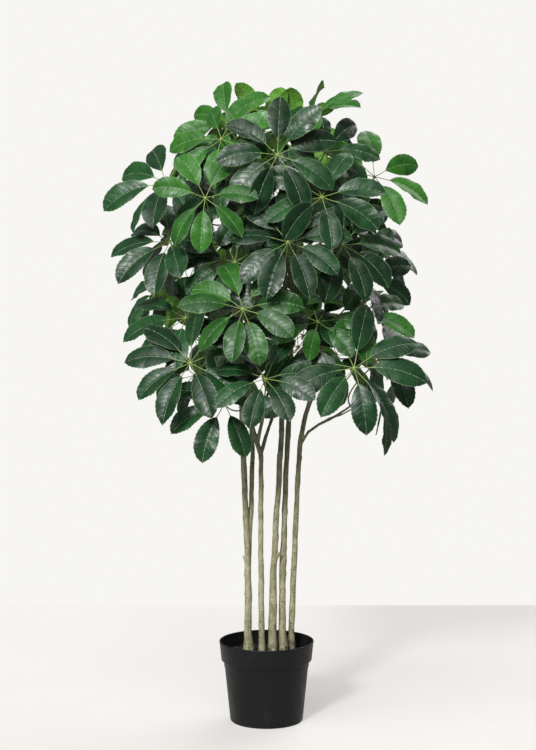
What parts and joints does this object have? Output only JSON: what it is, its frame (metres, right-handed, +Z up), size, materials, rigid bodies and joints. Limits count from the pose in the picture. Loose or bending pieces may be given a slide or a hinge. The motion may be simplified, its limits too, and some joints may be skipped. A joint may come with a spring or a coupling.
{
  "type": "potted umbrella plant",
  "caption": "Tall umbrella plant: slender bare stems in a tapered nursery pot under a rounded crown of palmate leaves; it stands on the floor as a decorative plant.",
  "frame": {"origin": "centre of the underside of the pot's base, on the floor", "axes": "+Z up along the stems; -Y is the front of the plant, +X is its right-hand side seen from the front"},
  "size_m": [0.7416, 0.6676, 1.466],
  "materials": {
    "pot_plastic": "plain black moulded plastic, matte with a faint sheen",
    "potting_mix": "dark, dry, crumbly potting mix with bark chips",
    "stem_bark": "dull olive-grey bark, mottled, with dark specks and knots",
    "leaf_dark": "dark green waxy leaf, embossed veins, pale midrib, lighter underside",
    "leaf_bright": "fresh mid-green waxy leaf, embossed veins, pale midrib, lighter underside"
  },
  "bodies": {
    "root": {"leaf_back_01": "leaf_dark", "leaf_back_02": "leaf_dark", "leaf_back_03": "leaf_dark", "leaf_back_04": "leaf_dark", "leaf_back_05": "leaf_dark", "leaf_back_06": "leaf_bright", "leaf_back_07": "leaf_bright", "leaf_back_08": "leaf_dark", "leaf_back_09": "leaf_dark", "leaf_back_10": "leaf_dark", "leaf_crown_01": "leaf_bright", "leaf_crown_02": "leaf_bright", "leaf_crown_03": "leaf_bright", "leaf_crown_04": "leaf_bright", "leaf_crown_05": "leaf_bright", "leaf_crown_06": "leaf_dark", "leaf_crown_07": "leaf_dark", "leaf_crown_08": "leaf_dark", "leaf_front_01": "leaf_dark", "leaf_front_02": "leaf_bright", "leaf_front_03": "leaf_dark", "leaf_front_04": "leaf_dark", "leaf_front_05": "leaf_dark", "leaf_front_06": "leaf_bright", "leaf_front_07": "leaf_bright", "leaf_front_08": "leaf_dark", "leaf_front_09": "leaf_dark", "leaf_front_10": "leaf_dark", "leaf_front_11": "leaf_dark", "leaf_front_12": "leaf_dark", "leaf_left_01": "leaf_dark", "leaf_left_02": "leaf_dark", "leaf_left_03": "leaf_dark", "leaf_left_04": "leaf_dark", "leaf_left_05": "leaf_dark", "leaf_left_06": "leaf_dark", "leaf_left_07": "leaf_bright", "leaf_left_08": "leaf_dark", "leaf_left_09": "leaf_dark", "leaf_left_10": "leaf_dark", "leaf_right_01": "leaf_bright", "leaf_right_02": "leaf_dark", "leaf_right_03": "leaf_bright", "leaf_right_04": "leaf_dark", "leaf_right_05": "leaf_dark", "leaf_right_06": "leaf_dark", "leaf_right_07": "leaf_dark", "leaf_right_08": "leaf_dark", "leaf_right_09": "leaf_dark", "leaf_right_10": "leaf_dark", "leaf_right_11": "leaf_dark", "pot": "pot_plastic", "potting_mix": "potting_mix", "stem_inner_left": "stem_bark", "stem_inner_right": "stem_bark", "stem_left": "stem_bark", "stem_middle": "stem_bark", "stem_right": "stem_bark"}
  },
  "joints": []
}
